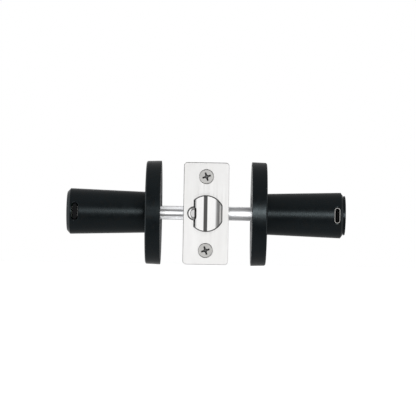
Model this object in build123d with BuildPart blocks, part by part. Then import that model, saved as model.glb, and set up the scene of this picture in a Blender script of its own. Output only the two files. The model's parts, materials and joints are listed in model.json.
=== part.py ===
"""Electronic door knob set: a tubular deadlatch, two round roses and two tapered knobs on one spindle.

Row frame: the origin is the centre of the latch faceplate's front face, which lies in the door's edge.
+X runs along the knobs' axis to the outside of the door, +Y runs into the door along the latch, +Z is up.
Lengths are in millimetres. The door itself isn't part of the set.
"""

from build123d import *
from math import cos, pi, radians, sin
import os

# ---- driving dimensions ---------------------------------------------------------------------------
BACKSET = 60.0  # door edge to knob axis
DOOR = 53.0  # door thickness the set is adjusted to, rose seat to rose seat
SEAT = DOOR / 2  # distance of each rose seat from the door's middle plane

FACE_W, FACE_H, FACE_T, FACE_CORNER = 25.4, 57.15, 1.6, 2.0
BACKING_T = 1.2
SCREW_PITCH = 41.3  # between the two faceplate screws

TUBE_R, TUBE_WALL, TUBE_END = 11.7, 1.35, 35.2
BOLT_R, BOLT_FLAT, BOLT_BEVEL_X = 9.6, -6.35, 8.55  # round latch bolt with a flat on each side
BOLT_OUT, BOLT_REAR = 12.7, 12.0  # how far the bolt stands out, and its rear end
BOLT_GAP = 0.35  # opening around the bolt
NOSE_FILLET = 2.7
PLUNGER_X, PLUNGER_R, PLUNGER_OUT = -6.58, 3.3, 9.5
PLUNGER_GAP = 0.35

CASE_W, CASE_H, CASE_WALL, CASE_END = 12.0, 21.8, 1.0, 84.0
RIVETS = [(38.2, 7.6), (48.0, 7.6), (72.0, 7.6), (81.0, 7.6), (81.0, -7.6)]  # (y, z)
HUB_R, ARM_R, ARM_PIN_R = 7.0, 10.4, 1.6
TURN = 75.0  # knob's turn that draws the bolt in, in degrees
THROW = 2 * ARM_R * sin(radians(TURN / 2))  # 12.66 mm of bolt travel
SPINDLE_HALF, SPINDLE_BORE_R = 3.97, 1.6
POST_OFFSET, POST_R = 19.0, 3.5  # mounting posts, before and behind the spindle

ROSE_R, ROSE_T, ROSE_WALL, ROSE_HOLE_R = 30.5, 8.8, 1.5, 10.6
PLATE_R, PLATE_T = 28.4, 2.0
BEARING_R = 8.65
RECESS, RECESS_R = 1.7, 10.7  # pocket under the plate for the sleeve's end and its ring
SLEEVE_R, SLEEVE_BORE_R = 8.6, 7.0

KNOB_START = SEAT + ROSE_T + 0.4
KNOB_BASE_R, KNOB_RIM_R = 12.05, 13.45
INSIDE_END, OUTSIDE_END = 81.5, 80.1  # where the two knob bodies end
KNOB_BORE_R = 10.2
WEB_START, WEB_END = 38.5, 41.5  # web across the knob that the sleeve is screwed to
PORT_U = 76.6  # port's distance from the door's middle plane
PORT_W, PORT_H, PORT_DEPTH = 8.94, 3.2, 7.3
MOUTH_R = 11.2  # port's mouth, from the knob axis
CUTOUT_W, CUTOUT_H = 10.4, 3.9

MOTOR_Z, MOTOR_R = 4.0, 5.0  # clutch motor, above the knob axis
PIN_R = 1.6
SCREW_CIRCLE_R = 8.2

INSIDE, OUTSIDE = -1, 1
SCREW_ANGLE = {INSIDE: 30, OUTSIDE: 90}  # first of each knob's three screws
KNOB_AXIS = Axis((0, BACKSET, 0), (1, 0, 0))

os.makedirs("parts", exist_ok=True)


# ---- helpers --------------------------------------------------------------------------------------
def save(part, name):
    """Writes one sub-part as its own STEP file."""
    part.label = name
    export_step(part, f"parts/{name}.step")


def edge_plane(depth):
    """Plane parallel to the door's edge, at that depth into the door, with its normal towards the user."""
    return Plane.XZ.offset(-depth)


def side_plane(side, u):
    """Plane across the knob axis, u from the door's middle. Local x is -Y, and the normal points outwards."""
    return Plane(origin=(side * u, BACKSET, 0), x_dir=(0, -1, 0), z_dir=(side, 0, 0))


def turning_plane(side):
    """Plane through the knob axis for turned profiles: local x is u outwards and local y is the radius."""
    return Plane(origin=(0, BACKSET, 0), x_dir=(side, 0, 0), z_dir=(0, 0, side))


def around_axis(radius, angle):
    """Place on a plane parallel to YZ, at that radius from the knob axis. The angle grows from +Y towards +Z."""
    return (BACKSET + radius * cos(radians(angle)), radius * sin(radians(angle)))


def port_plane(side, radius):
    """Plane across the port, radius in front of the knob axis, with its normal towards -Y."""
    return Plane(origin=(side * PORT_U, BACKSET - radius, 0), x_dir=(0, 0, 1), z_dir=(0, -1, 0))


def turned(side, points):
    """A solid whose closed profile of (u, radius) points is turned about the knob axis."""
    with BuildPart() as body:
        with BuildSketch(turning_plane(side)):
            with BuildLine():
                Polyline(*points, close=True)
            make_face()
        revolve(axis=KNOB_AXIS)
    return body.part


def bolt_outline(radius, low_x, high_x):
    """Round outline with a flat at each side, inside an open BuildSketch."""
    Circle(radius)
    with Locations(((low_x + high_x) / 2, 0)):
        Rectangle(high_x - low_x, 2 * radius, mode=Mode.INTERSECT)


def compression_spring(origin, length, radius, wire, turns):
    """Round-wire spring along +Y from origin."""
    with BuildPart() as spring:
        with BuildLine() as coil:
            Helix(length / turns, length, radius)
        with BuildSketch(Plane(origin=coil.line @ 0, z_dir=coil.line % 0)):
            Circle(wire / 2)
        sweep(path=coil.line, is_frenet=True)
    return spring.part.moved(Plane(origin=origin, x_dir=(1, 0, 0), z_dir=(0, 1, 0)).location)


# ---- latch: plates and screws ---------------------------------------------------------------------
def make_faceplate():
    with BuildPart() as faceplate:
        with BuildSketch(edge_plane(FACE_T)):
            RectangleRounded(FACE_W, FACE_H, FACE_CORNER)
        extrude(amount=FACE_T)
        fillet(faceplate.faces().sort_by(Axis.Y)[0].edges(), 0.35)
        with BuildSketch(edge_plane(FACE_T)):
            bolt_outline(BOLT_R + BOLT_GAP, BOLT_FLAT - BOLT_GAP, BOLT_BEVEL_X + BOLT_GAP)
            with Locations((PLUNGER_X, 0)):
                Circle(PLUNGER_R + PLUNGER_GAP)
        extrude(amount=FACE_T, mode=Mode.SUBTRACT)
        with Locations(edge_plane(0)):
            with GridLocations(0, SCREW_PITCH, 1, 2):
                CounterSinkHole(2.3, 4.25, counter_sink_angle=90)
    save(faceplate.part, "faceplate")


def make_backing_plate():
    with BuildPart() as backing_plate:
        with BuildSketch(edge_plane(FACE_T + BACKING_T)):
            RectangleRounded(FACE_W - 0.6, FACE_H - 0.6, FACE_CORNER)
            Circle(TUBE_R - TUBE_WALL, mode=Mode.SUBTRACT)
            with GridLocations(0, SCREW_PITCH, 1, 2):
                Circle(2.7, mode=Mode.SUBTRACT)
        extrude(amount=BACKING_T)
    save(backing_plate.part, "backing_plate")


def make_faceplate_screws():
    """Two flat-head wood screws with cross recesses, just under flush."""
    head_y, head_r, neck_r, shank_r, core_r = 0.15, 3.88, 2.25, 2.1, 1.45
    neck_end = FACE_T + BACKING_T + 0.2
    shank_end, tip_end, pitch = 12.0, 24.0, 1.6
    profile = [(0, head_y), (head_r - 0.2, head_y), (head_r, head_y + 0.12), (neck_r, head_y + 1.8)]
    profile += [(shank_r, neck_end), (shank_r, shank_end), (core_r, shank_end + 0.4)]
    y = shank_end + 0.9
    while y + pitch < tip_end - 3.0:
        profile += [(core_r, y), (shank_r, y + 0.5), (core_r, y + 1.0)]
        y += pitch
    profile += [(core_r, tip_end - 3.0), (0, tip_end)]
    with BuildPart() as screw:
        with BuildSketch(Plane.XY):
            with BuildLine():
                Polyline(*profile, close=True)
            make_face()
        revolve(axis=Axis.Y)
        with BuildSketch(edge_plane(head_y)):
            Rectangle(4.8, 1.0, rotation=18)
            Rectangle(4.8, 1.0, rotation=108)
            RegularPolygon(1.15, 8, rotation=18)
        extrude(amount=-1.9, taper=12, mode=Mode.SUBTRACT)
    with BuildPart() as faceplate_screws:
        for z in (-SCREW_PITCH / 2, SCREW_PITCH / 2):
            add(screw.part.moved(Location((0, 0, z))))
    save(faceplate_screws.part, "faceplate_screws")


# ---- latch: tube and bolt -------------------------------------------------------------------------
def make_latch_tube():
    start = FACE_T + BACKING_T
    with BuildPart() as latch_tube:
        with BuildSketch(edge_plane(TUBE_END)):
            Circle(TUBE_R)
            Circle(TUBE_R - TUBE_WALL, mode=Mode.SUBTRACT)
        extrude(amount=TUBE_END - start)
    save(latch_tube.part, "latch_tube")


def make_bolt_guide():
    """Nylon bush that guides the flat-sided bolt and the plunger in the round tube."""
    start, length = FACE_T + BACKING_T, 6.0
    with BuildPart() as bolt_guide:
        with BuildSketch(edge_plane(start + length)):
            Circle(TUBE_R - TUBE_WALL - 0.05)
        extrude(amount=length)
        with BuildSketch(edge_plane(start + length)):
            bolt_outline(BOLT_R + 0.2, BOLT_FLAT - 0.1, BOLT_BEVEL_X + 0.2)
            with Locations((PLUNGER_X, 0)):
                Circle(PLUNGER_R + 0.2)
        extrude(amount=length, mode=Mode.SUBTRACT)
    save(bolt_guide.part, "bolt_guide")


def make_latch_bolt():
    """Round bolt with a rounded nose at its flat side and one long bevel down to the other side."""
    nose_x, nose_y, bevel_foot_y = 0.0, -BOLT_OUT - 0.25, -1.2
    with BuildPart() as latch_bolt:
        with BuildSketch(edge_plane(BOLT_REAR)):
            bolt_outline(BOLT_R, BOLT_FLAT, BOLT_BEVEL_X)
        extrude(amount=BOLT_REAR + BOLT_OUT + 1)
        with BuildSketch(Plane.XY.offset(-BOLT_R - 1)) as side_view:
            with BuildLine():
                nose = SagittaArc((BOLT_FLAT, -7.4), (nose_x, nose_y), -1.15)
                bevel = SagittaArc(nose @ 1, (BOLT_BEVEL_X, bevel_foot_y), -1.2)
                Polyline(bevel @ 1, (BOLT_BEVEL_X, BOLT_REAR), (BOLT_FLAT, BOLT_REAR), nose @ 0)
            make_face()
            fillet(side_view.vertices().sort_by(Axis.Y)[0], NOSE_FILLET)
        extrude(amount=2 * BOLT_R + 2, mode=Mode.INTERSECT)
        # Pocket for the spring, slot for the plunger's hook and groove for the retractor.
        with Locations(Plane(origin=(0, BOLT_REAR, 0), z_dir=(0, 1, 0))):
            Hole(5.3, depth=3.0)
        with Locations((BOLT_FLAT, (4.8 + BOLT_REAR) / 2 + 0.5, 0)):
            Box(2.5, BOLT_REAR - 4.8 + 1, 3.4, mode=Mode.SUBTRACT)
        with Locations((4.0, BOLT_REAR, -8.6)):
            Box(1.3, 6.0, 2.8, mode=Mode.SUBTRACT)
    save(latch_bolt.part, "latch_bolt")


def make_retractor():
    """Steel strip from the bolt to the hub's arm: two lugs at its rear stand on either side of the arm's pin."""
    strip_x, strip_t, low_z, high_z, front_y = 4.0, 1.2, -8.9, -7.3, 9.2
    pin_y = BACKSET - ARM_R * sin(radians(TURN / 2))
    slot = ARM_PIN_R + 0.28
    with BuildPart() as retractor:
        with Locations((strip_x, (front_y + pin_y) / 2, (low_z + high_z) / 2)):
            Box(strip_t, pin_y - front_y, high_z - low_z)
        with Locations((strip_x, pin_y, -8.45)):
            Box(strip_t, 2 * slot + 4.4, 2.3)
        for lug_y in (pin_y - slot - 1.1, pin_y + slot + 1.1):
            with Locations((2.75, lug_y, -8.45)):
                Box(1.5, 2.2, 2.3)
    save(retractor.part, "retractor")


def make_deadlatch_plunger():
    flat_x = BOLT_FLAT - 0.08
    with BuildPart() as deadlatch_plunger:
        with BuildSketch(edge_plane(8.0)):
            with Locations((PLUNGER_X, 0)):
                Circle(PLUNGER_R)
            with Locations((flat_x - 5, 0)):
                Rectangle(10, 10, mode=Mode.INTERSECT)
        extrude(amount=8.0 + PLUNGER_OUT)
        tip = deadlatch_plunger.faces().sort_by(Axis.Y)[0].edges()
        fillet(tip.filter_by(GeomType.CIRCLE), 1.5)
        with Locations((-5.9, 6.0, 0)):
            Box(1.2, 2.0, 2.8)
        with Locations(Plane(origin=(-8.0, 8.0, 0), z_dir=(0, 1, 0))):
            Cylinder(0.9, 4.2, align=(Align.CENTER, Align.CENTER, Align.MIN))
    save(deadlatch_plunger.part, "deadlatch_plunger")


def make_latch_springs():
    save(compression_spring((0, 9.6, 0), 23.8, 4.6, 0.9, 8), "bolt_spring")
    save(compression_spring((-8.0, 8.4, 0), 25.2, 1.35, 0.4, 11), "plunger_spring")


def make_spring_seat():
    """Disc at the tube's end that both springs push against, with a notch for the retractor."""
    with BuildPart() as spring_seat:
        with BuildSketch(edge_plane(TUBE_END)):
            Circle(TUBE_R - TUBE_WALL - 0.05)
            with Locations((4.0, -9.0)):
                Rectangle(1.8, 4.0, mode=Mode.SUBTRACT)
        extrude(amount=1.2)
    save(spring_seat.part, "spring_seat")


# ---- latch: case and hub --------------------------------------------------------------------------
def make_latch_case():
    """Folded channel around the hub: one side wall, top, bottom and both ends."""
    half_w, half_h = CASE_W / 2, CASE_H / 2
    length = CASE_END - TUBE_END
    with BuildPart() as latch_case:
        with Locations((-CASE_WALL / 2, TUBE_END + length / 2, 0)):
            Box(CASE_W - CASE_WALL, length, CASE_H)
        fillet(latch_case.edges().filter_by(Axis.Y).sort_by(Axis.X)[:2], 0.9)
        with Locations((0, TUBE_END + length / 2, 0)):
            Box(2 * (half_w - CASE_WALL), length - 2 * CASE_WALL, CASE_H - 2 * CASE_WALL, mode=Mode.SUBTRACT)
        # Hub bearing, post holes, passage for the retractor and the window that the arm's tip swings through.
        with Locations(Plane(origin=(-half_w, BACKSET, 0), z_dir=(1, 0, 0))):
            Cylinder(HUB_R + 0.05, 3 * CASE_WALL, mode=Mode.SUBTRACT)
        for y in (BACKSET - POST_OFFSET, BACKSET + POST_OFFSET):
            with Locations(Plane(origin=(-half_w, y, 0), z_dir=(1, 0, 0))):
                Cylinder(POST_R + 0.4, 3 * CASE_WALL, mode=Mode.SUBTRACT)
        with Locations((4.0, TUBE_END, -8.6)):
            Box(2.0, 4.0, 3.2, mode=Mode.SUBTRACT)
        with Locations((0.6, BACKSET, -half_h)):
            Box(6.0, 17.0, 3 * CASE_WALL, mode=Mode.SUBTRACT)
    save(latch_case.part, "latch_case")


def make_case_cover():
    half_w = CASE_W / 2
    with BuildPart() as case_cover:
        with BuildSketch(Plane.YZ.offset(half_w - CASE_WALL)):
            with Locations(((TUBE_END + CASE_END) / 2, 0)):
                Rectangle(CASE_END - TUBE_END, CASE_H)
            with Locations((BACKSET, 0)):
                Circle(HUB_R + 0.05, mode=Mode.SUBTRACT)
            with Locations((BACKSET - POST_OFFSET, 0), (BACKSET + POST_OFFSET, 0)):
                Circle(POST_R + 0.4, mode=Mode.SUBTRACT)
            with Locations(*RIVETS):
                Circle(0.95, mode=Mode.SUBTRACT)
        extrude(amount=CASE_WALL)
    save(case_cover.part, "case_cover")


def make_case_rivets():
    """Spacer rivets that hold the cover on the case, clear of the retractor and the hub's arm."""
    half_w = CASE_W / 2
    with BuildPart() as case_rivets:
        for y, z in RIVETS:
            with BuildSketch(Plane.YZ.offset(-half_w + CASE_WALL)):
                with Locations((y, z)):
                    Circle(0.9)
            extrude(amount=2 * half_w - CASE_WALL)
            with BuildSketch(Plane.YZ.offset(half_w)):
                with Locations((y, z)):
                    Circle(1.5)
            extrude(amount=0.5)
    save(case_rivets.part, "case_rivets")


def make_hub():
    """Square-bored hub with a collar and one arm, whose pin stands between the retractor's lugs."""
    half_w = CASE_W / 2
    swing = radians(TURN / 2)
    pin_y, pin_z = BACKSET - ARM_R * sin(swing), -ARM_R * cos(swing)
    with BuildPart() as hub:
        with BuildSketch(Plane.YZ.offset(-half_w - 0.6)):
            with Locations((BACKSET, 0)):
                Circle(HUB_R)
        extrude(amount=CASE_W + 1.2)
        with BuildSketch(Plane.YZ.offset(-half_w + CASE_WALL + 0.1)):
            with Locations((BACKSET, 0)):
                Circle(HUB_R + 1.2)
        extrude(amount=2.4)
        with BuildSketch(Plane.YZ.offset(-2.0)):
            with BuildLine():
                root = 3.2
                Polyline(
                    (BACKSET - root * cos(swing), root * sin(swing)),
                    (pin_y - ARM_PIN_R * cos(swing), pin_z + ARM_PIN_R * sin(swing)),
                    (pin_y + ARM_PIN_R * cos(swing), pin_z - ARM_PIN_R * sin(swing)),
                    (BACKSET + root * cos(swing), -root * sin(swing)),
                    close=True,
                )
            make_face()
            with Locations((pin_y, pin_z)):
                Circle(ARM_PIN_R)
        extrude(amount=3.8)
        with BuildSketch(Plane.YZ.offset(-2.0)):
            with Locations((pin_y, pin_z)):
                Circle(ARM_PIN_R)
        extrude(amount=5.2)
        with BuildSketch(Plane.YZ.offset(-half_w - 1)):
            with Locations((BACKSET, 0)):
                Rectangle(2 * SPINDLE_HALF + 0.16, 2 * SPINDLE_HALF + 0.16)
        extrude(amount=CASE_W + 2, mode=Mode.SUBTRACT)
    save(hub.part, "hub")


# ---- spindle, posts and through bolts -------------------------------------------------------------
def make_spindle():
    """Hollow square spindle: it turns with the inside knob and carries the clutch disc at its outer end."""
    inner_end, outer_end = -37.5, 33.2
    with BuildPart() as spindle:
        with BuildSketch(Plane.YZ.offset(inner_end)):
            with Locations((BACKSET, 0)):
                RectangleRounded(2 * SPINDLE_HALF, 2 * SPINDLE_HALF, 0.5)
                Circle(SPINDLE_BORE_R, mode=Mode.SUBTRACT)
        extrude(amount=outer_end - inner_end)
        chamfer(spindle.faces().sort_by(Axis.X)[-1].outer_wire().edges(), 0.35)
        chamfer(spindle.faces().sort_by(Axis.X)[0].outer_wire().edges(), 0.35)
    save(spindle.part, "spindle")


def make_mounting_posts():
    """Internally threaded posts, riveted in the outside plate, that reach through the latch case."""
    start, end = -9.0, SEAT + PLATE_T
    with BuildPart() as mounting_posts:
        for y in (BACKSET - POST_OFFSET, BACKSET + POST_OFFSET):
            with BuildSketch(Plane.YZ.offset(start)):
                with Locations((y, 0)):
                    Circle(POST_R)
                    Circle(2.05, mode=Mode.SUBTRACT)
            extrude(amount=end - start)
            with BuildSketch(Plane.YZ.offset(end)):
                with Locations((y, 0)):
                    Circle(POST_R + 1.1)
            extrude(amount=0.9)
    save(mounting_posts.part, "mounting_posts")


def make_through_bolts():
    """Two pan-head bolts put in from the inside plate and screwed into the posts."""
    head_u = -(SEAT + PLATE_T)
    with BuildPart() as through_bolts:
        for y in (BACKSET - POST_OFFSET, BACKSET + POST_OFFSET):
            with BuildSketch(Plane.YZ.offset(head_u)):
                with Locations((y, 0)):
                    Circle(2.0)
            extrude(amount=-head_u + 6.0)
            with BuildSketch(Plane.YZ.offset(head_u)):
                with Locations((y, 0)):
                    Circle(4.2)
            extrude(amount=-2.6)
            fillet(through_bolts.faces().sort_by(Axis.X)[0].edges(), 1.0)
            with BuildSketch(Plane.YZ.offset(head_u - 2.6)):
                with Locations((y, 0)):
                    Rectangle(4.2, 0.9, rotation=30)
                    Rectangle(4.2, 0.9, rotation=120)
            extrude(amount=1.6, mode=Mode.SUBTRACT)
    save(through_bolts.part, "through_bolts")


# ---- roses, plates, sleeves and return springs: the same on both sides ----------------------------
GRUB_U = SEAT + 4.55
BOSS_END = SEAT + 5.4
FLANGE_U, FLANGE_T = SEAT + 5.6, 1.2
RING_U, RING_T, GROOVE_R = SEAT + 0.65, 1.0, 8.0
FINGER_R, FINGER_ANGLE = 15.2, 90 - TURN / 2  # where the sleeve's finger rests
COIL_R, COIL_START = 12.6, 238.5  # return spring: it ends half a turn on from its start


def make_rose(side, name):
    """Round cover, a shallow cup with a slight draft and a rounded outer edge."""
    face_u = SEAT + ROSE_T
    draft = 0.28
    inner_r = ROSE_R - ROSE_WALL
    profile = [
        (SEAT, inner_r),
        (SEAT, ROSE_R),
        (face_u, ROSE_R - draft),
        (face_u, ROSE_HOLE_R),
        (face_u - 1.6, ROSE_HOLE_R),
        (face_u - 1.6, inner_r),
    ]
    with BuildPart() as rose:
        add(turned(side, profile))
        rim = rose.edges().filter_by(GeomType.CIRCLE).filter_by(lambda e: e.radius > inner_r + 0.5)
        fillet(rim.filter_by(lambda e: abs(e.center().X) > face_u - 0.1), 1.1)
        chamfer(rim.filter_by(lambda e: abs(e.center().X) < SEAT + 0.1), 0.25)
        hole = rose.edges().filter_by(
            lambda e: abs(e.center().X) > face_u - 0.1 and e.length < 2 * pi * (ROSE_HOLE_R + 0.5)
        )
        fillet(hole, 0.4)
        with Locations(Plane(origin=(side * GRUB_U, BACKSET, -ROSE_R), z_dir=(0, 0, 1))):
            Cylinder(1.7, 6.0, mode=Mode.SUBTRACT)
    save(rose.part, name)


def make_mounting_plate(side, name, post_hole_r):
    """Plate under the rose: bearing for the sleeve, stops for the knob's turn and a lug for the grub screw."""
    top = SEAT + PLATE_T
    profile = [
        (SEAT, RECESS_R),
        (SEAT, PLATE_R),
        (top, PLATE_R),
        (top, 11.7),
        (BOSS_END, 11.5),
        (BOSS_END, BEARING_R),
        (SEAT + RECESS, BEARING_R),
        (SEAT + RECESS, RECESS_R),
    ]
    with BuildPart() as plate:
        add(turned(side, profile))
        with Locations(side_plane(side, SEAT + PLATE_T / 2)):
            with Locations((POST_OFFSET, 0), (-POST_OFFSET, 0)):
                Cylinder(post_hole_r, PLATE_T + 1, mode=Mode.SUBTRACT)
        # The stops stand just past each end of the finger's swing, which is centred on the top.
        with Locations(Plane.YZ.offset(side * (top + 1.6))):
            for angle in (90 - TURN / 2 - 8.0, 90 + TURN / 2 + 8.0):
                with Locations(around_axis(FINGER_R + 1.4, angle)):
                    Box(3.0, 1.6, 3.2, rotation=(0, 0, angle))
        with Locations((side * (top + 2.2), BACKSET, -25.2)):
            Box(4.4, 8.0, 5.6)
        with Locations(Plane.YZ.offset(side * (SEAT + PLATE_T / 2))):
            with Locations(around_axis(COIL_R, COIL_START)):
                Cylinder(0.65, PLATE_T + 1, mode=Mode.SUBTRACT)
        with Locations(Plane(origin=(side * GRUB_U, BACKSET, -25.0), z_dir=(0, 0, 1))):
            Cylinder(1.55, 8.0, mode=Mode.SUBTRACT)
        with Locations(side_plane(side, SEAT + PLATE_T / 2)):
            with PolarLocations(22.0, 3, start_angle=45 if side > 0 else 40, angular_range=240):
                Cylinder(2.2, PLATE_T + 1, mode=Mode.SUBTRACT)
    save(plate.part, name)


def make_grub_screw(side, name):
    """Headless screw with a hexagon socket that pins the rose to its plate."""
    with BuildPart() as grub:
        with BuildSketch(Plane(origin=(side * GRUB_U, BACKSET, -29.4), z_dir=(0, 0, 1))):
            Circle(1.5)
        extrude(amount=6.5)
        with BuildSketch(Plane(origin=(side * GRUB_U, BACKSET, -29.4), z_dir=(0, 0, 1))):
            RegularPolygon(0.8, 6)
        extrude(amount=1.8, mode=Mode.SUBTRACT)
    save(grub.part, name)


def make_sleeve(side, name, square):
    """Bearing sleeve: spring flange with a finger under the rose, and the flange that the knob is screwed to."""
    inner_end, outer_end, flange_end = SEAT + 0.1, WEB_START - 0.1, FLANGE_U + FLANGE_T
    groove = (RING_U - 0.05, RING_U + RING_T + 0.05)
    profile = [
        (inner_end, SLEEVE_BORE_R),
        (inner_end, SLEEVE_R),
        (groove[0], SLEEVE_R),
        (groove[0], GROOVE_R),
        (groove[1], GROOVE_R),
        (groove[1], SLEEVE_R),
        (FLANGE_U, SLEEVE_R),
        (FLANGE_U, 14.0),
        (flange_end, 14.0),
        (flange_end, SLEEVE_R),
        (outer_end - 1.5, SLEEVE_R),
        (outer_end - 1.5, KNOB_BORE_R),
        (outer_end, KNOB_BORE_R),
        (outer_end, SLEEVE_BORE_R),
    ]
    with BuildPart() as sleeve:
        add(turned(side, profile))
        with Locations(Plane.YZ.offset(side * (FLANGE_U + FLANGE_T / 2))):
            with Locations(around_axis(FINGER_R, FINGER_ANGLE)):
                Box(4.2, 2.2, FLANGE_T, rotation=(0, 0, FINGER_ANGLE))
        with Locations(Plane.YZ.offset(side * (flange_end - 2.1))):
            with Locations(around_axis(FINGER_R + 1.4, FINGER_ANGLE)):
                Box(1.4, 2.2, 4.2, rotation=(0, 0, FINGER_ANGLE))
        if square:
            with BuildSketch(side_plane(side, 32.0)):
                Circle(SLEEVE_BORE_R)
                Rectangle(2 * SPINDLE_HALF + 0.06, 2 * SPINDLE_HALF + 0.06, mode=Mode.SUBTRACT)
            extrude(amount=outer_end - 32.0)
        with Locations(side_plane(side, outer_end)):
            with PolarLocations(SCREW_CIRCLE_R, 3, start_angle=SCREW_ANGLE[side]):
                Hole(1.25, depth=1.5)
    save(sleeve.part, name)


def make_retaining_ring(side, name):
    """External circlip in the sleeve's groove, behind the plate."""
    with BuildPart() as ring:
        with BuildSketch(side_plane(side, RING_U)):
            Circle(9.7)
            with Locations((-9.2, 0)):
                Rectangle(3.0, 3.0, mode=Mode.SUBTRACT)
            with Locations((-8.9, 2.4), (-8.9, -2.4)):
                Circle(1.2)
            with Locations((-9.1, 2.5), (-9.1, -2.5)):
                Circle(0.5, mode=Mode.SUBTRACT)
            Circle(GROOVE_R + 0.05, mode=Mode.SUBTRACT)
        extrude(amount=RING_T)
    save(ring.part, name)


def make_return_spring(side, name):
    """Torsion spring around the plate's boss: one end goes into the plate, the other pushes the sleeve's finger."""
    wire_r, pitch, turns = 0.5, 1.2, 1.5
    height = pitch * turns
    start_way = (0, cos(radians(COIL_START)), sin(radians(COIL_START)))
    start = Plane(origin=(side * (SEAT + PLATE_T + 0.7), BACKSET, 0), x_dir=start_way, z_dir=(side, 0, 0))
    with BuildPart() as spring:
        with BuildLine() as coil:
            Helix(pitch, height, COIL_R)
        with BuildSketch(Plane(origin=coil.line @ 0, z_dir=coil.line % 0)):
            Circle(wire_r)
        sweep(path=coil.line, is_frenet=True)
        with Locations((COIL_R, 0, 0.2)):
            Cylinder(0.9 * wire_r, 2.6, align=(Align.CENTER, Align.CENTER, Align.MAX))
        with Locations((-COIL_R + 0.2, 0, height)):
            Cylinder(0.9 * wire_r, 5.4, rotation=(0, -90, 0), align=(Align.CENTER, Align.CENTER, Align.MIN))
    save(spring.part.moved(start.location), name)


def make_knob_screws(side, name):
    """Three cap screws through the knob's web into the sleeve."""
    with BuildPart() as screws:
        with BuildSketch(side_plane(side, WEB_END)):
            with PolarLocations(SCREW_CIRCLE_R, 3, start_angle=SCREW_ANGLE[side]):
                Circle(1.9)
        extrude(amount=1.4)
        with BuildSketch(side_plane(side, WEB_END)):
            with PolarLocations(SCREW_CIRCLE_R, 3, start_angle=SCREW_ANGLE[side]):
                Circle(1.2)
        extrude(amount=-4.2)
        with BuildSketch(side_plane(side, WEB_END + 1.4)):
            with PolarLocations(SCREW_CIRCLE_R, 3, start_angle=SCREW_ANGLE[side]):
                RegularPolygon(0.9, 6)
        extrude(amount=-0.9, mode=Mode.SUBTRACT)
    save(screws.part, name)


def make_knob_shell(side, name, end_u, chamfer_u, end_r, lip_r):
    """Tapered knob body with a web near its base and a round-ended cutout for the port."""
    slope = (KNOB_RIM_R - KNOB_BASE_R) / (80.0 - KNOB_START)
    corner_u = end_u - chamfer_u
    corner_r = KNOB_BASE_R + slope * (corner_u - KNOB_START)
    profile = [
        (KNOB_START, 10.4),
        (KNOB_START, KNOB_BASE_R - 0.3),
        (KNOB_START + 0.3, KNOB_BASE_R),
        (corner_u, corner_r),
        (end_u, end_r),
        (end_u, KNOB_BORE_R),
        (WEB_END, KNOB_BORE_R),
        (WEB_END, 7.05),
        (WEB_START, 7.05),
        (WEB_START, 10.4),
    ]
    with BuildPart() as shell:
        add(turned(side, profile))
        corners = shell.edges().filter_by(lambda e: corner_u - 0.1 < abs(e.center().X) < end_u + 0.1)
        fillet(corners.filter_by(lambda e: e.length > 2 * pi * (KNOB_BORE_R + 0.3)), 0.25)
        with BuildSketch(port_plane(side, 9.0)):
            SlotOverall(CUTOUT_W, CUTOUT_H)
        extrude(amount=8.0, mode=Mode.SUBTRACT)
        near_port = shell.edges().filter_by(lambda e: abs(abs(e.center().X) - PORT_U) < CUTOUT_H / 2 + 0.1)
        fillet(near_port.filter_by(lambda e: e.center().Y < BACKSET - KNOB_BASE_R), lip_r)
        with Locations(side_plane(side, WEB_END)):
            with PolarLocations(SCREW_CIRCLE_R, 3, start_angle=SCREW_ANGLE[side]):
                Hole(1.3, depth=WEB_END - WEB_START)
    save(shell.part, name)


def make_port(side, shell_name, tongue_name):
    """Charging receptacle: a drawn steel shell with a plastic tongue and back."""
    wall = 0.25
    with BuildPart() as port_shell:
        with BuildSketch(port_plane(side, MOUTH_R)):
            SlotOverall(PORT_W, PORT_H)
            SlotOverall(PORT_W - 2 * wall, PORT_H - 2 * wall, mode=Mode.SUBTRACT)
        extrude(amount=-PORT_DEPTH)
    save(port_shell.part, shell_name)
    with BuildPart() as port_tongue:
        with BuildSketch(port_plane(side, MOUTH_R - PORT_DEPTH)):
            SlotOverall(PORT_W - 2 * wall - 0.04, PORT_H - 2 * wall - 0.04)
        extrude(amount=1.6)
        with BuildSketch(port_plane(side, MOUTH_R - PORT_DEPTH)):
            Rectangle(6.7, 0.7)
        extrude(amount=PORT_DEPTH - 0.8)
    save(port_tongue.part, tongue_name)


# ---- inside knob ----------------------------------------------------------------------------------
def make_inside_end_cap():
    """Flush end cap with a stepped hole for the button."""
    outer_r = KNOB_BORE_R - 0.1
    profile = [(79.6, 5.6), (79.6, outer_r), (81.5, outer_r), (81.5, 4.6), (80.8, 4.6), (80.8, 5.6)]
    with BuildPart() as inside_end_cap:
        add(turned(INSIDE, profile))
        edges = inside_end_cap.edges().filter_by(lambda e: abs(e.center().X) > 81.4)
        fillet(edges, 0.2)
    save(inside_end_cap.part, "inside_end_cap")


def make_privacy_button():
    with BuildPart() as privacy_button:
        add(turned(INSIDE, [(79.95, 0), (79.95, 5.3), (80.7, 5.3), (80.7, 4.3), (81.5, 4.3), (81.5, 0)]))
        outer = privacy_button.edges().filter_by(lambda e: abs(e.center().X) > 81.4)
        fillet(outer, 0.3)
        with Locations(Plane(origin=(-81.5 - 14.7, BACKSET, 0))):
            Sphere(15.0, mode=Mode.SUBTRACT)
    save(privacy_button.part, "privacy_button")


def make_button_dome():
    """Metal snap dome under the button, which springs it back."""
    with BuildPart() as button_dome:
        add(turned(INSIDE, [(78.9, 2.8), (79.1, 2.8), (79.9, 1.0), (79.9, 0), (79.7, 0), (79.7, 0.9)]))
    save(button_dome.part, "button_dome")


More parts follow.
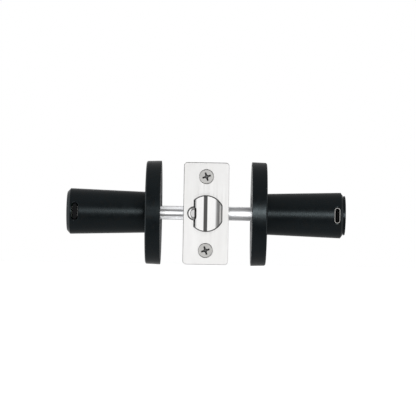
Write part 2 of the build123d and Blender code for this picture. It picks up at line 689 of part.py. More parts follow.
def make_inside_board():
    """Round circuit board under the cap: it holds the charging port and the button's contact."""
    with BuildPart() as inside_board:
        add(turned(INSIDE, [(78.25, 0), (78.25, 9.9), (78.85, 9.9), (78.85, 0)]))
        with Locations((-77.5, BACKSET + 4.5, 2.5)):
            Box(1.5, 3.4, 3.4)
        with Locations((-77.6, BACKSET + 5.0, -3.5)):
            Box(1.3, 2.2, 1.4)
    save(inside_board.part, "inside_board")


def make_battery():
    """Short cylindrical lithium cell with its raised end contact."""
    with BuildPart() as battery_cell:
        add(turned(INSIDE, [(45.2, 0), (45.2, 3.2), (46.0, 3.2), (46.0, 7.8), (72.0, 7.8), (72.0, 0)]))
        rims = battery_cell.edges().filter_by(lambda e: e.length > 45)
        fillet(rims, 0.6)
    save(battery_cell.part, "battery_cell")


def make_battery_carrier():
    """Plastic cradle: a sleeve open towards +Y, with a floor at each end."""
    with BuildPart() as battery_carrier:
        add(turned(INSIDE, [(43.4, 0), (43.4, 10.0), (73.6, 10.0), (73.6, 0)]))
        add(turned(INSIDE, [(44.4, 0), (44.4, 8.0), (72.6, 8.0), (72.6, 0)]), mode=Mode.SUBTRACT)
        with Locations((-58.5, BACKSET + 8.5, 0)):
            Box(32, 7.0, 9.0, mode=Mode.SUBTRACT)
        with Locations((-58.5, BACKSET + 9.0, 0)):
            Box(26, 9.0, 14.0, mode=Mode.SUBTRACT)
    save(battery_carrier.part, "battery_carrier")


def make_battery_contacts():
    """Spring leaf at each end of the cell."""
    with BuildPart() as battery_contacts:
        for near, far in ((44.4, 45.2), (72.6, 72.0)):
            add(turned(INSIDE, [(near, 1.9), (near, 5.0), (far, 3.0), (far, 1.9)]))
    save(battery_contacts.part, "battery_contacts")


def make_port_plug():
    """Rubber dust plug in the inside knob's port: a round-ended pad with a hollow skirt that grips the port."""
    pad_r, base_r, grip = 12.3, MOUTH_R + 0.1, 3.6
    with BuildPart() as port_plug:
        with BuildSketch(port_plane(INSIDE, base_r)):
            SlotOverall(CUTOUT_W - 0.8, CUTOUT_H - 0.8)
        extrude(amount=pad_r - base_r)
        front = port_plug.faces().sort_by(Axis.Y)[0].edges()
        fillet(front, 0.6)
        with BuildSketch(port_plane(INSIDE, base_r)):
            SlotOverall(PORT_W - 0.9, PORT_H - 0.9)
            SlotOverall(PORT_W - 1.7, PORT_H - 1.7, mode=Mode.SUBTRACT)
        extrude(amount=-grip)
    save(port_plug.part, "port_plug")


# ---- outside knob ---------------------------------------------------------------------------------
def make_outside_end_cap():
    """Stepped end cap: a spigot in the knob's bore and a slightly proud disc around the sensor."""
    profile = [
        (78.95, 6.3),
        (78.95, KNOB_BORE_R - 0.1),
        (80.15, KNOB_BORE_R - 0.1),
        (80.15, 10.8),
        (80.65, 10.8),
        (80.65, 11.5),
        (81.5, 11.5),
        (81.5, 6.3),
    ]
    with BuildPart() as outside_end_cap:
        add(turned(OUTSIDE, profile))
        rims = outside_end_cap.edges().filter_by(lambda e: e.center().X > 81.4)
        fillet(rims, 0.25)
    save(outside_end_cap.part, "outside_end_cap")


def make_sensor():
    """Round fingerprint sensor, with the light ring around it."""
    with BuildPart() as fingerprint_sensor:
        add(turned(OUTSIDE, [(78.95, 0), (78.95, 5.25), (81.1, 5.25), (81.1, 0)]))
        fillet(fingerprint_sensor.edges().filter_by(lambda e: e.center().X > 81.0), 0.2)
    save(fingerprint_sensor.part, "fingerprint_sensor")
    with BuildPart() as light_ring:
        add(turned(OUTSIDE, [(78.95, 5.3), (78.95, 6.25), (81.35, 6.25), (81.35, 5.3)]))
    save(light_ring.part, "light_ring")


def make_outside_board():
    """Round sensor board with the main board standing under it."""
    with BuildPart() as outside_board:
        add(turned(OUTSIDE, [(78.25, 0), (78.25, 9.9), (78.85, 9.9), (78.85, 0)]))
        with Locations((70.3, BACKSET + 2.5, 0)):
            Box(15.9, 1.0, 17.0)
        for x, z, w, h in ((67.5, 2.0, 6.0, 6.0), (74.0, -4.0, 3.2, 4.4), (65.5, -5.2, 2.4, 3.0)):
            with Locations((x, BACKSET + 3.4, z)):
                Box(w, 0.8, h)
    save(outside_board.part, "outside_board")


def make_clutch_motor():
    """Small can motor whose shaft carries the clutch screw."""
    start, end = 46.5, 61.0
    with BuildPart() as clutch_motor:
        with BuildSketch(Plane.YZ.offset(start)):
            with Locations((BACKSET, MOTOR_Z)):
                Circle(MOTOR_R)
        extrude(amount=end - start)
        fillet(clutch_motor.edges(), 0.5)
        with BuildSketch(Plane.YZ.offset(start)):
            with Locations((BACKSET, MOTOR_Z)):
                Circle(1.8)
        extrude(amount=-0.8)
    save(clutch_motor.part, "clutch_motor")


def make_motor_bracket():
    """Plastic block that fills the knob's bore and holds the motor."""
    start, end = 43.4, 58.5
    with BuildPart() as motor_bracket:
        with BuildSketch(Plane.YZ.offset(start)):
            with Locations((BACKSET, 0)):
                Circle(10.0)
            with Locations((BACKSET, MOTOR_Z)):
                Circle(2.4, mode=Mode.SUBTRACT)
            with Locations((BACKSET, -4.5)):
                SlotOverall(12.0, 3.0, rotation=90, mode=Mode.SUBTRACT)
        extrude(amount=end - start)
        with BuildSketch(Plane.YZ.offset(46.4)):
            with Locations((BACKSET, MOTOR_Z)):
                Circle(MOTOR_R + 0.05)
        extrude(amount=end - 46.4, mode=Mode.SUBTRACT)
    save(motor_bracket.part, "motor_bracket")


def make_clutch_screw():
    """Driving screw on the motor's shaft, inside the hollow clutch pin."""
    core_r, crest_r, start, end, pitch = 0.55, 0.75, 39.2, 45.6, 0.8
    profile = [(start, 0), (start, core_r)]
    u = start + 0.3
    while u + pitch < 44.8:
        profile += [(u, core_r), (u + 0.2, crest_r), (u + 0.4, crest_r), (u + 0.6, core_r)]
        u += pitch
    profile += [(end, core_r), (end, 0)]
    with BuildPart() as clutch_screw:
        with BuildSketch(Plane(origin=(0, BACKSET, MOTOR_Z), x_dir=(1, 0, 0), z_dir=(0, 0, 1))):
            with BuildLine():
                Polyline(*profile, close=True)
            make_face()
        revolve(axis=Axis((0, BACKSET, MOTOR_Z), (1, 0, 0)))
    save(clutch_screw.part, "clutch_screw")


def make_clutch_pin():
    """Hollow pin on the screw: its end stands in the clutch disc when the outside knob is engaged."""
    start, end = 35.0, 42.3
    with BuildPart() as clutch_pin:
        with BuildSketch(Plane.YZ.offset(start)):
            with Locations((BACKSET, MOTOR_Z)):
                Circle(PIN_R)
        extrude(amount=end - start)
        chamfer(clutch_pin.faces().sort_by(Axis.X)[0].edges(), 0.3)
        with BuildSketch(Plane.YZ.offset(end)):
            with Locations((BACKSET, MOTOR_Z)):
                Circle(0.85)
        extrude(amount=-(end - 37.0), mode=Mode.SUBTRACT)
        with Locations((end - 1.2, BACKSET, MOTOR_Z + PIN_R)):
            Box(2.0, 1.0, 1.0)
    save(clutch_pin.part, "clutch_pin")


def make_clutch_guide():
    """Plug in the outside sleeve that keeps the pin in line and from turning."""
    start, end = 37.0, 41.4
    with BuildPart() as clutch_guide:
        with BuildSketch(Plane.YZ.offset(start)):
            with Locations((BACKSET, 0)):
                Circle(6.9)
                SlotOverall(3.4, 3.0, mode=Mode.SUBTRACT)
            with Locations((BACKSET, MOTOR_Z)):
                Circle(PIN_R + 0.08, mode=Mode.SUBTRACT)
        extrude(amount=end - start)
        with Locations(((start + end) / 2, BACKSET, MOTOR_Z + PIN_R)):
            Box(end - start, 1.4, 1.6, mode=Mode.SUBTRACT)
    save(clutch_guide.part, "clutch_guide")


def make_clutch_disc():
    """Disc on the spindle's square end, with the hole that the clutch pin enters."""
    with BuildPart() as clutch_disc:
        with BuildSketch(Plane.YZ.offset(30.6)):
            with Locations((BACKSET, 0)):
                Circle(6.7)
                Circle(SPINDLE_BORE_R, mode=Mode.SUBTRACT)
            for z in (MOTOR_Z, -MOTOR_Z):
                with Locations((BACKSET, z)):
                    Circle(PIN_R + 0.1, mode=Mode.SUBTRACT)
        extrude(amount=5.6)
        with BuildSketch(Plane.YZ.offset(30.6)):
            with Locations((BACKSET, 0)):
                Rectangle(2 * SPINDLE_HALF + 0.06, 2 * SPINDLE_HALF + 0.06)
        extrude(amount=2.7, mode=Mode.SUBTRACT)
    save(clutch_disc.part, "clutch_disc")


def make_power_lead():
    """Lead from the inside board, past the cell and through the hollow spindle, to the outside board."""
    lead_r = 0.6
    route = [
        (-78.1, BACKSET + 9.1, 0),
        (-42.5, BACKSET + 9.1, 0),
        (-42.5, BACKSET, 0),
        (42.4, BACKSET, 0),
        (42.4, BACKSET, -5.4),
        (64.5, BACKSET, -5.4),
        (64.5, BACKSET + 1.95, -5.4),
    ]
    with BuildPart() as power_lead:
        with BuildLine() as line:
            FilletPolyline(*route, radius=1.1)
        with BuildSketch(Plane(origin=route[0], z_dir=(1, 0, 0))):
            Circle(lead_r)
        sweep(path=line.line)
    save(power_lead.part, "power_lead")


make_faceplate()
make_backing_plate()
make_faceplate_screws()
make_latch_tube()
make_bolt_guide()
make_latch_bolt()
make_retractor()
make_deadlatch_plunger()
make_latch_springs()
make_spring_seat()
make_latch_case()
make_case_cover()
make_case_rivets()
make_hub()
make_spindle()
make_mounting_posts()
make_through_bolts()
for side, word in ((INSIDE, "inside"), (OUTSIDE, "outside")):
    make_rose(side, f"{word}_rose")
    make_mounting_plate(side, f"{word}_plate", 2.3 if side == INSIDE else POST_R + 0.05)
    make_grub_screw(side, f"{word}_grub_screw")
    make_sleeve(side, f"{word}_sleeve", square=side == INSIDE)
    make_retaining_ring(side, f"{word}_retaining_ring")
    make_return_spring(side, f"{word}_return_spring")
    make_knob_screws(side, f"{word}_knob_screws")
    make_port(side, f"{word}_port_shell", f"{word}_port_tongue")
make_knob_shell(INSIDE, "inside_knob", INSIDE_END, 1.9, 11.4, lip_r=0.35)
make_knob_shell(OUTSIDE, "outside_knob", OUTSIDE_END, 1.2, 11.7, lip_r=0.15)
make_inside_end_cap()
make_privacy_button()
make_button_dome()
make_inside_board()
make_battery()
make_battery_carrier()
make_battery_contacts()
make_port_plug()
make_outside_end_cap()
make_sensor()
make_outside_board()
make_clutch_motor()
make_motor_bracket()
make_clutch_screw()
make_clutch_pin()
make_clutch_guide()
make_clutch_disc()
make_power_lead()
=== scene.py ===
"""Looks of the electronic door knob set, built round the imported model. Lengths are in metres."""

import json
import math

import bpy
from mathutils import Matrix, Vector


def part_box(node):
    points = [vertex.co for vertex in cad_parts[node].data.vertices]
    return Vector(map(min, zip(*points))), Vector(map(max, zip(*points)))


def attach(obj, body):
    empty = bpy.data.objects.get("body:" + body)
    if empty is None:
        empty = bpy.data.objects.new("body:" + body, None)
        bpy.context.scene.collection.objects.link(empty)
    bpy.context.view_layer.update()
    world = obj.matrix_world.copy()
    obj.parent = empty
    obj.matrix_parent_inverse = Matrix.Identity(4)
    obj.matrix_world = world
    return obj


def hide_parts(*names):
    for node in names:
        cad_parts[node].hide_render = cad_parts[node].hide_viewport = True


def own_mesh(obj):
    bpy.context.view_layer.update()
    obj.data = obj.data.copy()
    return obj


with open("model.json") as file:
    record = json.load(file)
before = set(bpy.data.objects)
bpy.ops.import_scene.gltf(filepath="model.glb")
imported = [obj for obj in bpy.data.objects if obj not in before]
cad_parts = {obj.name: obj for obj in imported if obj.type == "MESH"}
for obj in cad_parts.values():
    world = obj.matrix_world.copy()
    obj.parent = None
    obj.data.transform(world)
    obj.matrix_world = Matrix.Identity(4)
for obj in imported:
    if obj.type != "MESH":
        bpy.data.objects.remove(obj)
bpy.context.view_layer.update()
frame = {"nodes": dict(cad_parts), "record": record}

nodes = frame["nodes"]

# ---- places, from the frame -----------------------------------------------------------------------
knob_low, knob_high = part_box("inside_knob")
AXIS_Y = (knob_low.y + knob_high.y) / 2
screws_low, screws_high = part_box("faceplate_screws")
SCREW_PITCH = (screws_high.z - screws_low.z) - (screws_high.x - screws_low.x)
SKIN, RECESS_DEPTH = 0.00004, 0.0024  # the heads' flat fronts lie inside the skin and get no painted shade
RECESS_START, RECESS_END = screws_low.y + SKIN, screws_low.y + RECESS_DEPTH
RECESS_R, SINK_R = 0.0027, 0.0043

# ---- the latch face's bolt hole: a circle with two flats, and the plunger's notch -------------------
HOLE_R, HOLE_LEFT, HOLE_RIGHT = 0.00995, -0.0067, 0.0089
NOTCH_X, NOTCH_R = -0.00658, 0.00365
SHADE_START, SHADE_END = 0.2, 0.4  # the painted shade line round it fades between these millimetres
MM_PER_M = 1000.0
RIM_WIDTH, FLAT = 0.0005, 0.97  # faces this near the plate's edge and this much turned from its front

# ---- springs: CAD node, body, joint it shortens with, direction, end that stays, share that is left --
LATCH_SEAT, DOME_SEAT = (0, 0.034, 0), (-0.0789, 0, 0)
INTO_DOOR, ALONG_KNOB = (0, 1, 0), (1, 0, 0)
SPRINGS = (
    ("bolt_spring", "door_fixed", "latch_bolt_slide", INTO_DOOR, LATCH_SEAT, 0.485),
    ("plunger_spring", "door_fixed", "latch_bolt_slide", INTO_DOOR, LATCH_SEAT, 0.16),
    ("button_dome", "inside_knob", "privacy_button_press", ALONG_KNOB, DOME_SEAT, 0.2),
)

# ---- camera: square on to the latch face, about 1.2 m from the knobs --------------------------------
CAMERA_DISTANCE = 1.2
CAMERA_SIDE, CAMERA_HEIGHT = 0.00106, 0.00313
CAMERA_ROLL = math.radians(-1.0)
SENSOR, LENS = 36.0, 176.5


# ---- node helpers ---------------------------------------------------------------------------------
NOISE_LOW, NOISE_HIGH = 0.3, 0.7  # nearly all of a noise lies between these


class Shader:
    """A Principled material whose texture nodes work in the row frame's metres."""

    def __init__(self, name, colour, metallic, roughness):
        self.material = bpy.data.materials.new(name)
        self.material.use_nodes = True
        self.tree = self.material.node_tree
        self.bsdf = self.tree.nodes["Principled BSDF"]
        self.coords = self.add("ShaderNodeTexCoord").outputs["Object"]
        self.bsdf.inputs["Base Color"].default_value = (*colour, 1.0)
        self.bsdf.inputs["Metallic"].default_value = metallic
        self.bsdf.inputs["Roughness"].default_value = roughness

    def add(self, kind):
        return self.tree.nodes.new(kind)

    def link(self, source, target):
        self.tree.links.new(source, target)

    def noise(self, scale, detail=2.0, stretch=(1.0, 1.0, 1.0)):
        """Factor output of noise with that many features per metre, stretched along the row axes."""
        mapping = self.add("ShaderNodeMapping")
        mapping.inputs["Scale"].default_value = stretch
        self.link(self.coords, mapping.inputs["Vector"])
        noise = self.add("ShaderNodeTexNoise")
        noise.inputs["Scale"].default_value = scale
        noise.inputs["Detail"].default_value = detail
        self.link(mapping.outputs["Vector"], noise.inputs["Vector"])
        return noise.outputs["Fac"]

    def ramp(self, factor, low, high, start=NOISE_LOW, end=NOISE_HIGH):
        """Colour ramp from low to high between start and end of the factor."""
        ramp = self.add("ShaderNodeValToRGB")
        ramp.color_ramp.elements[0].position = start
        ramp.color_ramp.elements[0].color = (*low, 1.0)
        ramp.color_ramp.elements[1].position = end
        ramp.color_ramp.elements[1].color = (*high, 1.0)
        self.link(factor, ramp.inputs["Fac"])
        return ramp.outputs["Color"]

    def vary_colour(self, factor, low, high, start=NOISE_LOW, end=NOISE_HIGH):
        self.link(self.ramp(factor, low, high, start, end), self.bsdf.inputs["Base Color"])

    def blend_colour(self, factor, low, high):
        """Base colour between two colour outputs."""
        mix = self.add("ShaderNodeMix")
        mix.data_type = "RGBA"
        self.link(factor, mix.inputs["Factor"])
        colours = [socket for socket in mix.inputs if socket.type == "RGBA"]
        self.link(low, colours[0])
        self.link(high, colours[1])
        self.link(next(out for out in mix.outputs if out.type == "RGBA"), self.bsdf.inputs["Base Color"])

    def math(self, operation, *values):
        """Math node on numbers and outputs."""
        node = self.add("ShaderNodeMath")
        node.operation = operation
        for socket, value in zip(node.inputs, values):
            if isinstance(value, (int, float)):
                socket.default_value = value
            else:
                self.link(value, socket)
        return node.outputs["Value"]

    def vary_roughness(self, factor, low, high):
        spread = self.add("ShaderNodeMapRange")
        spread.inputs["From Min"].default_value = NOISE_LOW
        spread.inputs["From Max"].default_value = NOISE_HIGH
        spread.inputs["To Min"].default_value = low
        spread.inputs["To Max"].default_value = high
        self.link(factor, spread.inputs["Value"])
        self.link(spread.outputs["Result"], self.bsdf.inputs["Roughness"])

    def bump(self, factor, depth, strength=1.0):
        bump = self.add("ShaderNodeBump")
        bump.inputs["Strength"].default_value = strength
        bump.inputs["Distance"].default_value = depth
        self.link(factor, bump.inputs["Height"])
        self.link(bump.outputs["Normal"], self.bsdf.inputs["Normal"])


# ---- materials ------------------------------------------------------------------------------------
def black_coat():
    """Powder coat with a cool cast and sparse warm speckles."""
    shader = Shader("black_coat", (0.008, 0.010, 0.012), 0.0, 0.36)
    shader.bsdf.inputs["Specular IOR Level"].default_value = 0.40
    shader.bsdf.inputs["Specular Tint"].default_value = (0.80, 0.95, 1.0, 1.0)
    grain = shader.noise(1400, 3.0)
    drift = shader.noise(60, 2.0)
    speckle = shader.noise(420, 4.0)
    cool = shader.ramp(drift, (0.0042, 0.0064, 0.0080), (0.0062, 0.0088, 0.0108))
    warm = shader.ramp(drift, (0.0090, 0.0082, 0.0076), (0.0120, 0.0104, 0.0092))
    shader.blend_colour(shader.ramp(speckle, (0, 0, 0), (0.75, 0.75, 0.75), 0.5, 0.72), cool, warm)
    shader.vary_roughness(shader.noise(300, 3.0), 0.24, 0.33)
    shader.bump(grain, 0.00003, 0.5)
    return shader.material


def past_bolt_hole(shader):
    """Millimetres past the outline of the latch face's bolt hole."""
    split = shader.add("ShaderNodeSeparateXYZ")
    shader.link(shader.coords, split.inputs["Vector"])
    x, _, z = split.outputs
    z_squared = shader.math("MULTIPLY", z, z)

    def past_circle(centre, radius):
        from_centre = shader.math("SUBTRACT", x, centre)
        squared = shader.math("MULTIPLY_ADD", from_centre, from_centre, z_squared)
        return shader.math("SUBTRACT", shader.math("SQRT", squared), radius)

    past_left = shader.math("SUBTRACT", HOLE_LEFT, x)
    past_right = shader.math("SUBTRACT", x, HOLE_RIGHT)
    past_flats = shader.math("MAXIMUM", past_left, past_right)
    past_round = shader.math("MAXIMUM", past_circle(0.0, HOLE_R), past_flats)
    past_hole = shader.math("MINIMUM", past_round, past_circle(NOTCH_X, NOTCH_R))
    return shader.math("MULTIPLY", past_hole, MM_PER_M)


def satin_steel():
    """Satin face with very fine upright grinding lines and a painted shade line round the bolt hole."""
    shader = Shader("satin_steel", (0.9, 0.895, 0.885), 1.0, 0.3)
    lines = shader.noise(700, 4.0, (3.0, 1.0, 0.06))
    cloud = shader.ramp(shader.noise(45, 2.0), (0.89, 0.885, 0.872), (0.935, 0.93, 0.925))
    # painted shade: dark colour round the bolt hole where the gap's shade falls
    hole_painted_shade = shader.ramp(shader.noise(900, 2.0), (0.03, 0.03, 0.03), (0.12, 0.12, 0.12))
    hole_shade_mask = shader.ramp(past_bolt_hole(shader), (1, 1, 1), (0, 0, 0), SHADE_START, SHADE_END)
    shader.blend_colour(hole_shade_mask, cloud, hole_painted_shade)
    shader.vary_roughness(lines, 0.30, 0.42)
    shader.bump(lines, 0.000004, 0.5)
    return shader.material


def bolt_chrome():
    """Bright chrome that reflects the room in sharp bands."""
    shader = Shader("bolt_chrome", (0.93, 0.925, 0.92), 1.0, 0.07)
    shader.vary_roughness(shader.noise(180, 4.0), 0.05, 0.11)
    shader.vary_colour(shader.noise(90, 2.0), (0.90, 0.895, 0.89), (0.95, 0.945, 0.94))
    shader.bump(shader.noise(500, 3.0, (0.3, 1.0, 1.0)), 0.000003, 0.4)
    return shader.material


def plated(name, low, high, roughness, spread=0.06, grain=500):
    """Plated or bare metal with a cloudy tint and fine grain."""
    shader = Shader(name, high, 1.0, roughness)
    shader.vary_colour(shader.noise(130, 3.0), low, high)
    shader.vary_roughness(shader.noise(grain, 3.0), roughness - spread, roughness + spread)
    shader.bump(shader.noise(grain * 2, 2.0), 0.000004, 0.4)
    return shader.material


def plastic(name, low, high, roughness, grain=900, depth=0.00001, shine=0.5):
    """Moulded plastic or rubber with a fine mould texture."""
    shader = Shader(name, high, 0.0, roughness)
    shader.bsdf.inputs["Specular IOR Level"].default_value = shine
    shader.vary_colour(shader.noise(110, 2.0), low, high)
    shader.vary_roughness(shader.noise(grain / 3, 2.0), roughness - 0.04, roughness + 0.05)
    shader.bump(shader.noise(grain, 2.0), depth, 0.4)
    return shader.material


def circuit_board():
    """Green solder mask with lighter traces."""
    shader = Shader("board_green", (0.01, 0.11, 0.05), 0.0, 0.35)
    traces = shader.noise(700, 1.0, (1.0, 1.0, 0.25))
    shader.vary_colour(traces, (0.006, 0.085, 0.035), (0.02, 0.2, 0.09), 0.48, 0.52)
    shader.vary_roughness(shader.noise(400, 2.0), 0.28, 0.42)
    shader.bump(traces, 0.00001, 0.4)
    return shader.material


materials = {
    "black_coat": black_coat(),
    "satin_steel": satin_steel(),
    "bolt_chrome": bolt_chrome(),
    "zinc_steel": plated("zinc_steel", (0.80, 0.81, 0.83), (0.90, 0.90, 0.91), 0.44),
    "nickel": plated("nickel", (0.70, 0.69, 0.67), (0.86, 0.85, 0.83), 0.16, 0.04),
    "spring_steel": plated("spring_steel", (0.42, 0.42, 0.43), (0.60, 0.60, 0.61), 0.3),
    "sintered_steel": plated("sintered_steel", (0.24, 0.24, 0.24), (0.36, 0.36, 0.36), 0.45, 0.08, 1500),
    "brass": plated("brass", (0.62, 0.43, 0.17), (0.80, 0.60, 0.28), 0.25),
    "black_plastic": plastic("black_plastic", (0.014, 0.014, 0.015), (0.024, 0.024, 0.026), 0.5),
    "gloss_black": plastic("gloss_black", (0.006, 0.006, 0.008), (0.012, 0.012, 0.015), 0.1, 500, 0.000002),
    "light_plastic": plastic("light_plastic", (0.62, 0.68, 0.74), (0.78, 0.83, 0.88), 0.35),
    "nylon": plastic("nylon", (0.70, 0.69, 0.64), (0.82, 0.81, 0.77), 0.45),
    "rubber": plastic("rubber", (0.002, 0.003, 0.004), (0.004, 0.005, 0.006), 0.2, shine=0.18),
    "board_green": circuit_board(),
    "cell_wrap": plastic("cell_wrap", (0.02, 0.10, 0.24), (0.04, 0.15, 0.33), 0.22),
    "lead_red": plastic("lead_red", (0.35, 0.015, 0.012), (0.5, 0.03, 0.02), 0.35),
}


def recess_painted_shade():
    """Painted shade on the metal in the screws' cross recesses and their countersinks."""
    shader = Shader("recess_painted_shade", (0.16, 0.16, 0.16), 1.0, 0.3)
    shader.vary_colour(shader.noise(900, 3.0), (0.09, 0.09, 0.09), (0.26, 0.26, 0.26))
    shader.vary_roughness(shader.noise(1500, 2.0), 0.22, 0.4)
    return shader.material


def rim_painted_shade():
    """Painted shade on the latch face's left and top edges, darker than its ground front."""
    shader = Shader("rim_painted_shade", (0.2, 0.2, 0.2), 1.0, 0.3)
    shader.vary_colour(shader.noise(700, 3.0), (0.10, 0.10, 0.10), (0.18, 0.18, 0.18))
    shader.vary_roughness(shader.noise(1200, 2.0), 0.24, 0.34)
    return shader.material


def paint_plate_rim_shade():
    """Gives the latch face's left and top edges their painted shade."""
    plate = nodes["faceplate"]
    low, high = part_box("faceplate")
    plate.data.materials.append(rim_painted_shade())
    rim_shade_slot = len(plate.data.materials) - 1
    for face in plate.data.polygons:
        centre = plate.matrix_world @ face.center
        tilted = abs((plate.matrix_world.to_3x3() @ face.normal).y) < FLAT
        # painted shade: only the left and top edges, which the light leaves in shade
        to_edge = min(centre.x - low.x, high.z - centre.z)
        if tilted and to_edge < RIM_WIDTH:
            face.material_index = rim_shade_slot


def paint_screw_recess_shade():
    """Gives the cross recesses' faces and the countersinks' faces their painted shade."""
    dark = recess_painted_shade()
    # painted shade: the recess and countersink faces get a darker colour where shade falls in them
    for name, radius in (("faceplate_screws", RECESS_R), ("faceplate", SINK_R)):
        node = nodes[name]
        node.data.materials.append(dark)
        recess_shade_slot = len(node.data.materials) - 1
        for face in node.data.polygons:
            centre = node.matrix_world @ face.center
            from_axis = math.hypot(centre.x, abs(centre.z) - SCREW_PITCH / 2)
            if from_axis < radius and RECESS_START < centre.y < RECESS_END:
                face.material_index = recess_shade_slot


def springs():
    """Springs and the snap dome, each a copy of its CAD node that its body carries."""
    for name, body, joint, axis, anchor, keep in SPRINGS:
        node = nodes[name]
        spring = bpy.data.objects.new(name + "_moving", node.data.copy())
        bpy.context.collection.objects.link(spring)
        spring.matrix_world = node.matrix_world.copy()
        bpy.context.view_layer.update()
        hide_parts(name)
        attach(spring, body)
        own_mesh(spring)


def paint_nodes():
    """Gives each CAD node the material of its slot in the record."""
    for entry in frame["record"]["subparts"]:
        node = nodes[entry["node"]]
        node.data.materials.clear()
        node.data.materials.append(materials[entry["material_slot"]])


# ---- stage ----------------------------------------------------------------------------------------
FLOOR_Z, FLOOR_SIZE, FLOOR_SUN = -0.2, 12.0, 4.8

# ---- the room's brightness by direction. Each edge is where a wall begins and where it is full -------
FRONT_WALL, CEILING, BELOW, SIDE_WALL, BACK_WALL, RIGHT_BACK = 0.10, 0.27, 0.27, 1.0, 0.6, 0.24
CEILING_EDGE, BELOW_EDGE = (0.3, 0.95), (-0.35, -0.9)
RIGHT_EDGE, LEFT_EDGE, BACK_EDGE = (0.80, 0.90), (-0.45, -0.60), (0.25, 0.45)
BACK_MIDDLE, BACK_CEILING_EDGE, BACK_BELOW_EDGE = (-0.1, 0.1), (0.35, 0.6), (-0.35, -0.6)

# ---- lamps: place, size, power and the pieces that each one lights ----------------------------------
KEY = (0.37, -1.5, 0.12), (0.62, 0.46), 7.4
FACE_KEY = (0.30, -1.45, -0.22), (1.5, 1.4), 7.3
SOFT_KEY = (0.12, -1.45, -0.1), (1.0, 1.0), 1.9
GAP_KEY = (0.0, -1.45, 0.0), (2.4, 2.4), 42.0
BRIGHT = ("faceplate",)
SMALL = ("deadlatch_plunger", "faceplate_screws", "privacy_button", "port_plug")
PORTS = ("inside_port_shell", "outside_port_shell")
IN_GAP = ("mounting_posts", "through_bolts", "spindle")  # bright zinc between the roses
UNLIT = ("bolt_guide", "latch_bolt", "backing_plate", "outside_port_tongue")  # by the room only


def receivers(name, objects):
    """A collection of the objects that a light reaches."""
    collection = bpy.data.collections.new(name)
    for one in objects:
        collection.objects.link(one)
    return collection


def make_floor():
    """Pale floor that the camera sees and that keeps none of the room's light from the object."""
    bpy.ops.mesh.primitive_plane_add(size=FLOOR_SIZE, location=(0, 0, FLOOR_Z))
    floor = bpy.context.object
    floor.name = "floor"
    shader = Shader("floor_paper", (0.92, 0.92, 0.92), 0.0, 0.8)
    shader.vary_colour(shader.noise(3.0, 2.0), (0.90, 0.90, 0.90), (0.93, 0.93, 0.93))
    floor.data.materials.append(shader.material)
    floor.visible_glossy = False
    floor.visible_diffuse = False
    floor.visible_shadow = False
    return floor


def area_light(name, lamp_values, only, blockers=None):
    """Rectangular lamp aimed at the latch face. It lights only those objects, and the blockers shade it."""
    place, size, power = lamp_values
    light = bpy.data.lights.new(name, "AREA")
    light.shape = "RECTANGLE"
    light.size, light.size_y = size
    light.energy = power
    lamp = bpy.data.objects.new(name, light)
    bpy.context.collection.objects.link(lamp)
    lamp.location = place
    lamp.rotation_euler = (-Vector(place)).to_track_quat("-Z", "Y").to_euler()
    lamp.light_linking.receiver_collection = only
    if blockers is not None:
        lamp.light_linking.blocker_collection = blockers


class Sky:
    """Builds the room's brightness from the direction a ray leaves in."""

    def __init__(self, tree):
        self.tree = tree
        coords = tree.nodes.new("ShaderNodeTexCoord").outputs["Generated"]
        split = tree.nodes.new("ShaderNodeSeparateXYZ")
        tree.links.new(coords, split.inputs["Vector"])
        self.x, self.y, self.z = split.outputs

    def step(self, value, start, end):
        """0 below start and 1 above end, smoothly."""
        ramp = self.tree.nodes.new("ShaderNodeMapRange")
        ramp.interpolation_type = "SMOOTHSTEP"
        ramp.inputs["From Min"].default_value = start
        ramp.inputs["From Max"].default_value = end
        self.tree.links.new(value, ramp.inputs["Value"])
        return ramp.outputs["Result"]

    def blend(self, factor, low, high):
        """low where the factor is 0 and high where it is 1. Each is a number or an output."""
        mix = self.tree.nodes.new("ShaderNodeMix")
        self.tree.links.new(factor, mix.inputs["Factor"])
        for socket, value in (("A", low), ("B", high)):
            if isinstance(value, (int, float)):
                mix.inputs[socket].default_value = value
            else:
                self.tree.links.new(value, mix.inputs[socket])
        return mix.outputs["Result"]


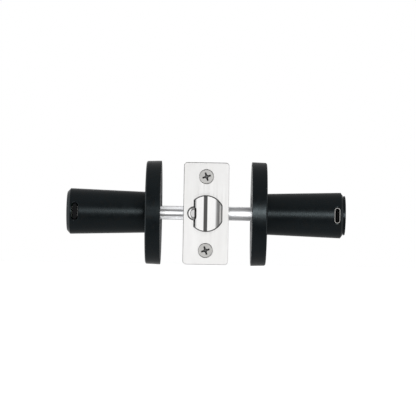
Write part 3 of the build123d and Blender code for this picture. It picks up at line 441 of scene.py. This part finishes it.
def make_world():
    """A room with white sides and dimmer other walls. The camera itself sees plain white instead."""
    world = bpy.data.worlds.new("studio")
    bpy.context.scene.world = world
    world.use_nodes = True
    tree = world.node_tree
    sky = Sky(tree)
    front = sky.blend(sky.step(sky.z, *CEILING_EDGE), FRONT_WALL, CEILING)
    front = sky.blend(sky.step(sky.z, *BELOW_EDGE), front, BELOW)
    room = sky.blend(sky.step(sky.x, *RIGHT_EDGE), front, SIDE_WALL)
    room = sky.blend(sky.step(sky.x, *LEFT_EDGE), room, SIDE_WALL)
    back = sky.blend(sky.step(sky.x, *BACK_MIDDLE), BACK_WALL, RIGHT_BACK)
    back = sky.blend(sky.step(sky.z, *BACK_CEILING_EDGE), back, CEILING)
    back = sky.blend(sky.step(sky.z, *BACK_BELOW_EDGE), back, BELOW)
    room = sky.blend(sky.step(sky.y, *BACK_EDGE), room, back)
    seen = tree.nodes.new("ShaderNodeLightPath").outputs["Is Camera Ray"]
    tree.links.new(sky.blend(seen, room, 1.0), tree.nodes["Background"].inputs["Strength"])
    tree.nodes["Background"].inputs["Color"].default_value = (1.0, 1.0, 1.0, 1.0)


def make_lights(floor):
    """One lamp each for the black pieces, the face, the small pieces, the zinc in the gaps and the floor."""
    named = BRIGHT + SMALL + PORTS + IN_GAP + UNLIT
    others = [node for name, node in nodes.items() if name not in named]
    face_only = receivers("face_lit", [nodes[name] for name in BRIGHT])
    area_light("key", KEY, receivers("key_lit", others))
    area_light("face_key", FACE_KEY, face_only, face_only)
    area_light("soft_key", SOFT_KEY, receivers("soft_lit", [nodes[name] for name in SMALL + PORTS]))
    area_light("gap_key", GAP_KEY, receivers("gap_lit", [nodes[name] for name in IN_GAP]))
    sun = bpy.data.lights.new("floor_sun", "SUN")
    sun.energy = FLOOR_SUN
    lamp = bpy.data.objects.new("floor_sun", sun)
    bpy.context.collection.objects.link(lamp)
    lamp.light_linking.receiver_collection = receivers("floor_lit", [floor])


def make_camera():
    """Camera square on to the latch face, with a long lens."""
    data = bpy.data.cameras.new("camera")
    data.lens, data.sensor_width = LENS, SENSOR
    data.clip_start, data.clip_end = 0.05, 50.0
    camera = bpy.data.objects.new("camera", data)
    bpy.context.collection.objects.link(camera)
    camera.location = (CAMERA_SIDE, AXIS_Y - CAMERA_DISTANCE, CAMERA_HEIGHT)
    camera.rotation_euler = (math.pi / 2, CAMERA_ROLL, 0)
    bpy.context.scene.camera = camera


paint_nodes()
paint_screw_recess_shade()
paint_plate_rim_shade()
springs()
make_lights(make_floor())
make_world()
make_camera()
bpy.context.scene.view_settings.view_transform = "Standard"
